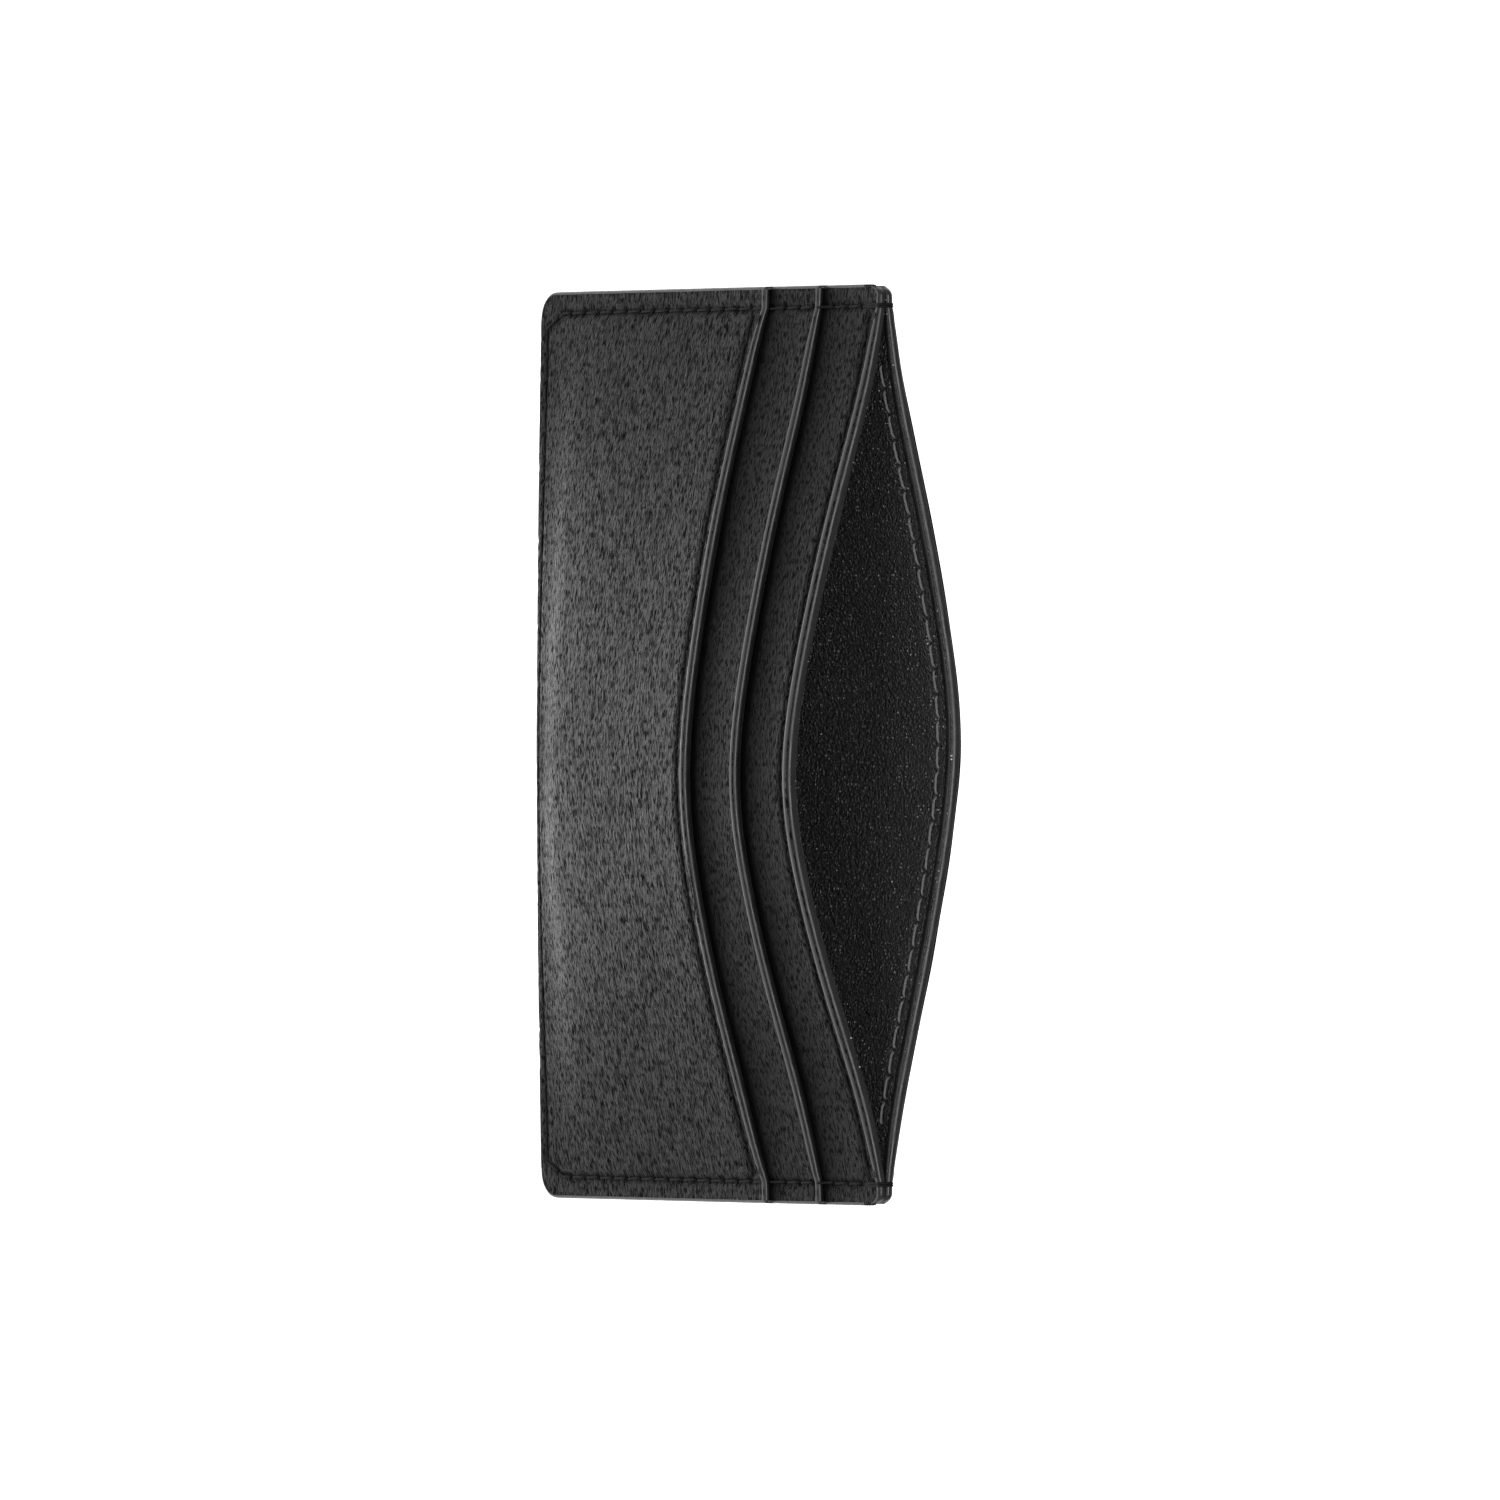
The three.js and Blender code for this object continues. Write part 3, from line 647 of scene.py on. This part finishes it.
def woven_cloth(name, colour):
    finish, tree, shader = new_finish(name, colour, 0.85)
    place = flat_place(tree)
    parts = node(tree, "ShaderNodeSeparateXYZ", {"Vector": place})
    warp = mixed(tree, "SINE", mixed(tree, "MULTIPLY", parts.outputs["X"], 18.0), 0.0)
    weft = mixed(tree, "SINE", mixed(tree, "MULTIPLY", parts.outputs["Z"], 18.0), 0.0)
    over = mixed(tree, "MULTIPLY", warp, weft)
    bump = node(tree, "ShaderNodeBump", {"Height": over, "Strength": 0.7, "Distance": 0.00005})
    tree.links.new(bump.outputs["Normal"], shader.inputs["Normal"])
    # Painted shade: the weave is coloured darker where it dips.
    shade = node(tree, "ShaderNodeMix", {
        "Factor": ramp(tree, over, -1, 1), 6: (*[c * 0.6 for c in colour], 1), 7: (*colour, 1)},
        data_type="RGBA")
    tree.links.new(shade.outputs[2], shader.inputs["Base Color"])
    return finish


black_cloth = woven_cloth("black_cloth", (0.012, 0.012, 0.0125))
sew_sheet("lower_pocket_cloth", "lower_lining", lower_lip, LOWER_LIP, [],
          black_cloth, "lower_pocket_lining", seed=17, steps=(2, 2), wave=0.01)
sew_sheet("upper_pocket_cloth", "upper_lining", upper_lip, UPPER_LIP, [],
          black_cloth, "upper_pocket_lining", seed=18, steps=(2, 2), wave=0.01)

# ---------------------------------------------------------------------------------------------
# Lip edges. Every cut lip is sanded round and painted with several coats of black edge paint,
# which leaves a smooth shining bead. The front wall's lip shows a fine line between its
# leather and its lining.
BEAD_BULGE = 1.2
BEAD_FOOT = math.radians(-32)


def edge_paint(name, colour, roughness):
    """Hard satin paint, faintly uneven where the coats were brushed on."""
    finish, tree, shader = new_finish(name, colour, roughness)
    place = solid_place(tree, (0.35, 1, 1))
    uneven = node(tree, "ShaderNodeTexNoise", {"Vector": place, "Scale": 1.1, "Detail": 3.0}).outputs["Fac"]
    bump = node(tree, "ShaderNodeBump", {"Height": uneven, "Strength": 0.5, "Distance": 0.00006})
    tree.links.new(bump.outputs["Normal"], shader.inputs["Normal"])
    tree.links.new(ramp(tree, uneven, 0.3, 0.7, roughness - 0.07, roughness + 0.1),
                   shader.inputs["Roughness"])
    tone = node(tree, "ShaderNodeMix", {
        "Factor": ramp(tree, uneven, 0.25, 0.75), 6: (*[c * 0.75 for c in colour], 1),
        7: (*[c * 1.2 for c in colour], 1)}, data_type="RGBA")
    tree.links.new(tone.outputs[2], shader.inputs["Base Color"])
    return finish


black_edge = edge_paint("black_edge", (0.014, 0.014, 0.0145), 0.3)


def paint_lip(name, outer_sheet, inner_sheet, lip, layer_line, node_name):
    """A bulb of paint over a lip, a little wider than the sheets under it."""
    x_list = columns(0.6)
    angles = np.linspace(BEAD_FOOT, math.pi - BEAD_FOOT, 25)
    across = 0.5 - 0.5 * BEAD_BULGE * np.cos(angles)
    down = 1 - np.sin(angles)
    groove = np.zeros(across.shape)
    if layer_line is not None:
        groove = 0.1 * np.exp(-((across - layer_line) / 0.06) ** 2)
    x = np.repeat(x_list[:, None], len(across), 1)
    top = lip(x_list)
    half = np.abs(face(outer_sheet, x_list, top) - face(inner_sheet, x_list, top, outer=False)) / 2
    z = top[:, None] - half[:, None] * BEAD_BULGE * down[None, :] - groove[None, :]
    start = face(outer_sheet, x, z)
    end = face(inner_sheet, x, z, outer=False)
    y = start + (end - start) * across[None, :]
    points = np.stack([x, y, z], -1).reshape(-1, 3)
    nc, nr = x.shape
    front = outer_sheet in FRONT_STACK
    faces = grid_faces(nc, nr, 0, not front).tolist()
    for i in range(nc - 1):
        under = [i * nr, (i + 1) * nr, (i + 2) * nr - 1, (i + 1) * nr - 1]
        faces.append(under[::-1] if front else under)
    for column, flip in ((0, front), (nc - 1, not front)):
        loop = [column * nr + k for k in range(nr)]
        faces.append(loop[::-1] if flip else loop)
    return make_piece(name, points, faces, black_edge, node_name)


paint_lip("lower_pocket_edge", "lower_leather", "lower_lining", lower_lip, None,
          "lower_pocket_lip_paint")
paint_lip("upper_pocket_edge", "upper_leather", "upper_lining", upper_lip, None,
          "upper_pocket_lip_paint")
paint_lip("front_wall_edge", "front_leather", "front_lining", front_lip, 0.62,
          "front_wall_lip_paint")
paint_lip("back_wall_edge", "back_leather", "back_lining", back_lip, None,
          "back_wall_lip_paint")

# ---------------------------------------------------------------------------------------------
# Seam edges. The stacked layers are trimmed together along the bottom and both sides, sanded
# and painted, so the stack reads as one rounded edge with faint lines between the layers.
SIDE_TOP = MOUTH - MOUTH_CORNER_HEIGHT - 0.15
SEAM_PROFILE_STEPS = 27


def seam_outline():
    """Points and inward directions round the three closed edges."""
    corner_x = HALF_WIDTH - CORNER_RADIUS
    up = np.concatenate([np.arange(CORNER_RADIUS, SIDE_TOP, 0.6), [SIDE_TOP]])
    for lip in (LOWER_LIP, UPPER_LIP):
        up = np.concatenate([up[np.abs(up - lip) > 0.7], np.linspace(lip - 0.6, lip + 0.6, 9)])
    up = np.sort(up)
    angles = np.linspace(0, math.pi / 2, 9)[1:-1]
    right = [(HALF_WIDTH, z, -1.0, 0.0) for z in up[::-1]]
    right += [(corner_x + CORNER_RADIUS * math.cos(a), CORNER_RADIUS * (1 - math.sin(a)),
               -math.cos(a), math.sin(a)) for a in angles]
    base = [(x, 0.0, 0.0, 1.0) for x in np.linspace(corner_x, -corner_x, 140)]
    left = [(-x, z, -dx, dz) for x, z, dx, dz in reversed(right)]
    return np.array(right + base + left)


def front_depth(z):
    """The y of the front of the stack in the side margins, stepping down at each pocket lip."""
    margin = np.full(np.shape(z), HALF_WIDTH)
    low = np.zeros(np.shape(z)) + 20.0
    lower = face("lower_leather", margin, low)
    upper = face("upper_leather", margin, low)
    front = face("front_leather", margin, low)
    past_lower = smooth_step(LOWER_LIP - 0.05, LOWER_LIP + 0.3, z)
    past_upper = smooth_step(UPPER_LIP - 0.05, UPPER_LIP + 0.3, z)
    return lower + (upper - lower) * past_lower + (front - upper) * past_upper


def paint_seam():
    """One strip of paint round the three closed edges, ridged where the layers meet."""
    outline = seam_outline()
    count = len(outline)
    t = np.linspace(0, 1, SEAM_PROFILE_STEPS)
    wrap, clearance, layers = 0.32, 0.03, 6
    out = np.abs(2 * t - 1) ** 5
    x0, z0, dx, dz = (outline[:, k][:, None] for k in range(4))
    bend = sag(x0, z0)
    front = front_depth(z0) - bend - clearance
    back = face("back_leather", np.full(z0.shape, HALF_WIDTH), z0 * 0 + 20.0) - bend + clearance
    ridge = 0.02 * np.cos(2 * math.pi * t * layers) * (1 - out)
    inward = wrap * out[None, :] + 0.02 - ridge[None, :]
    x = x0 + dx * inward
    z = z0 + dz * inward
    y = front + (back - front) * (0.5 - 0.5 * np.cos(math.pi * t))[None, :]
    inner_x = x0 + dx * (wrap + 0.1)
    inner_z = z0 + dz * (wrap + 0.1)
    inner_y = front + (back - front) * np.array([0.8, 0.2])[None, :]
    shell = np.stack([x, y, z], -1)
    inside = np.stack([np.repeat(inner_x, 2, 1), inner_y, np.repeat(inner_z, 2, 1)], -1)
    ring = np.concatenate([shell, inside], 1)
    size = ring.shape[1]
    faces = []
    for i in range(count - 1):
        for k in range(size):
            n = (k + 1) % size
            faces.append([i * size + k, i * size + n, (i + 1) * size + n, (i + 1) * size + k])
    faces.append([k for k in range(size)][::-1])
    faces.append([(count - 1) * size + k for k in range(size)])
    return make_piece("seam_edges", ring.reshape(-1, 3), faces, black_edge,
                      "seam_edge_paint")


paint_seam()

# ---------------------------------------------------------------------------------------------
# Stitching. Waxed three-strand thread, 2.75 mm a stitch. Every stitch rises out of its hole,
# lies slightly aslant in its groove and dives into the next one.
THREAD_RADIUS = 0.145
THREAD_SIDES, THREAD_RINGS = 10, 12
STRANDS, STRAND_GROOVE, TWIST_PER_MM = 3, 0.13, 2.6
GAP_AT_HOLE, DIVE = 0.12, 0.42


def waxed_thread(name, colour, roughness):
    finish, tree, shader = new_finish(name, colour, roughness, ior=1.3)
    place = solid_place(tree)
    fibre = node(tree, "ShaderNodeTexNoise", {"Vector": place, "Scale": 9.0, "Detail": 2.0}).outputs["Fac"]
    bump = node(tree, "ShaderNodeBump", {"Height": fibre, "Strength": 0.5, "Distance": 0.00003})
    tree.links.new(bump.outputs["Normal"], shader.inputs["Normal"])
    tone = node(tree, "ShaderNodeMix", {
        "Factor": ramp(tree, fibre, 0.3, 0.7), 6: (*[c * 0.7 for c in colour], 1),
        7: (*[c * 1.25 for c in colour], 1)}, data_type="RGBA")
    tree.links.new(tone.outputs[2], shader.inputs["Base Color"])
    return finish


def thread_tube(path, out, first, twist_start):
    """One short length of twisted thread along path, with its points and faces."""
    steps = len(path)
    along = np.gradient(path, axis=0)
    along /= np.linalg.norm(along, axis=1)[:, None]
    normal = out - (out * along).sum(1)[:, None] * along
    normal /= np.linalg.norm(normal, axis=1)[:, None]
    across = np.cross(along, normal)
    theta = np.linspace(0, 2 * math.pi, THREAD_SIDES, endpoint=False)
    run = np.concatenate([[0], np.cumsum(np.linalg.norm(np.diff(path, axis=0), axis=1))])
    twist = twist_start + run * TWIST_PER_MM
    radius = THREAD_RADIUS * (1 + STRAND_GROOVE * np.cos(STRANDS * (theta[None, :] - twist[:, None])))
    ring = (path[:, None, :] + radius[..., None] * (np.cos(theta)[None, :, None] * normal[:, None, :]
                                                    + np.sin(theta)[None, :, None] * across[:, None, :]))
    points = ring.reshape(-1, 3)
    faces = []
    for i in range(steps - 1):
        for k in range(THREAD_SIDES):
            n = (k + 1) % THREAD_SIDES
            a, b = first + i * THREAD_SIDES, first + (i + 1) * THREAD_SIDES
            faces.append([a + k, b + k, b + n, a + n])
    faces.append([first + k for k in range(THREAD_SIDES)])
    faces.append([first + (steps - 1) * THREAD_SIDES + k for k in range(THREAD_SIDES)][::-1])
    return points, faces


def sew_row(name, row, surface, outward, finish, node_name, lift=0.03, slant=0.12, seed=1):
    """All the stitches of one row, lying on surface(x, z)."""
    random = np.random.default_rng(seed)
    points, faces, first = [], [], 0
    for index in range(len(row.holes) - 1):
        u = np.linspace(0, 1, THREAD_RINGS)
        along = row.holes[index] + row.pitch * (GAP_AT_HOLE / 2 + (1 - GAP_AT_HOLE) * u)
        flat = row.at(along)
        heading = np.gradient(flat, axis=0)
        heading /= np.linalg.norm(heading, axis=1)[:, None]
        aside = np.stack([-heading[:, 1], heading[:, 0]], 1)
        lean = slant * (1 + random.uniform(-0.3, 0.3)) * (2 * u - 1)
        flat = flat + aside * lean[:, None]
        rise = lift + random.uniform(-0.02, 0.02) - DIVE * np.abs(2 * u - 1) ** 7
        y = surface(flat[:, 0], flat[:, 1]) + outward * rise
        path = np.stack([flat[:, 0], y, flat[:, 1]], 1)
        out = np.tile([0.0, outward, 0.0], (len(path), 1))
        more, quads = thread_tube(path, out, first, random.uniform(0, 6))
        points.append(more)
        faces += quads
        first += len(more)
    return make_piece(name, np.concatenate(points), faces, finish, node_name)


def front_surface(x, z):
    """The front of the holder under the seam thread: pocket by pocket, bridging each lip."""
    lower = face("lower_leather", x, np.minimum(z, LOWER_LIP))
    upper = face("upper_leather", x, z)
    front = face("front_leather", x, z)
    past_lower = smooth_step(LOWER_LIP - 0.1, LOWER_LIP + 0.9, z)
    past_upper = smooth_step(UPPER_LIP - 0.1, UPPER_LIP + 0.9, z)
    return lower + (upper - lower) * past_lower + (front - upper) * past_upper


black_thread = waxed_thread("black_thread", (0.004, 0.004, 0.0042), 0.7)
# The inside thread is made mid-grey: a charcoal thread, made paler as a painted highlight for its sheen.
grey_thread = waxed_thread("grey_thread", (0.16, 0.16, 0.163), 0.6)
sew_row("seam_thread_front", seam_row, front_surface, -1, black_thread,
        "seam_stitching_front", lift=-0.06, slant=0.06, seed=21)
sew_row("seam_thread_back", seam_row, lambda x, z: face("back_leather", x, z), 1, black_thread,
        "seam_stitching_back", seed=22)
sew_row("lower_lip_thread", lower_lip_row, lambda x, z: face("lower_leather", x, z), -1,
        black_thread, "lower_pocket_lip_stitching", seed=23)
sew_row("front_lip_thread_outside", front_lip_row, lambda x, z: face("front_leather", x, z), -1,
        black_thread, "front_wall_lip_stitching_outside", seed=24)
sew_row("front_lip_thread_inside", front_lip_row,
        lambda x, z: face("front_lining", x, z, outer=False), 1,
        grey_thread, "front_wall_lip_stitching_inside", seed=25)
sew_row("back_lip_thread_inside", back_lip_row,
        lambda x, z: face("back_lining", x, z, outer=False), -1,
        grey_thread, "back_wall_lip_stitching_inside", slant=0.06, seed=26)
sew_row("back_lip_thread_outside", back_lip_row, lambda x, z: face("back_leather", x, z), 1,
        black_thread, "back_wall_lip_stitching_outside", seed=27)

# ---------------------------------------------------------------------------------------------
# Mouth tacks. At each end of the mouth the seam thread is wrapped over the edge and back, so
# that the pocket can't tear open there.


def tack_mouth(name, side, node_name):
    """Two turns of thread up the front, over the edge and down the back."""
    x = side * (SEAM_X + 0.05)
    at_edge = np.array([side * HALF_WIDTH])
    front_y = float(face("front_leather", at_edge, np.array([20.0]))[0])
    back_y = float(face("back_leather", at_edge, np.array([20.0]))[0])
    middle, half = (front_y + back_y) / 2, (back_y - front_y) / 2
    points, faces, first = [], [], 0
    for turn_index, shift in enumerate((-0.13, 0.13)):
        angle = np.linspace(0, math.pi, 19)
        over_y = middle - (half + 0.1) * np.sign(np.cos(angle)) * np.abs(np.cos(angle)) ** 0.7
        over_z = MOUTH - 0.4 + 0.48 * np.abs(np.sin(angle)) ** 0.7
        foot = np.linspace(MOUTH - 2.9, MOUTH - 0.6, 7)
        down_y = np.where(foot < MOUTH - 2.7, 0.0, half + 0.06)
        y = np.concatenate([middle - down_y, over_y, (middle + down_y)[::-1]])
        z = np.concatenate([foot, over_z, foot[::-1]])
        path = np.stack([np.full(len(y), x + shift), y, z], 1)
        centre = np.array([x + shift, middle, MOUTH - 2.0])
        out = path - centre
        out /= np.linalg.norm(out, axis=1)[:, None]
        more, quads = thread_tube(path, out, first, turn_index * 1.3)
        points.append(more)
        faces += quads
        first += len(more)
    make_piece(name, np.concatenate(points), faces, black_thread, node_name)


tack_mouth("mouth_tack_thread_left", -1, "mouth_tack_left")
tack_mouth("mouth_tack_thread_right", 1, "mouth_tack_right")
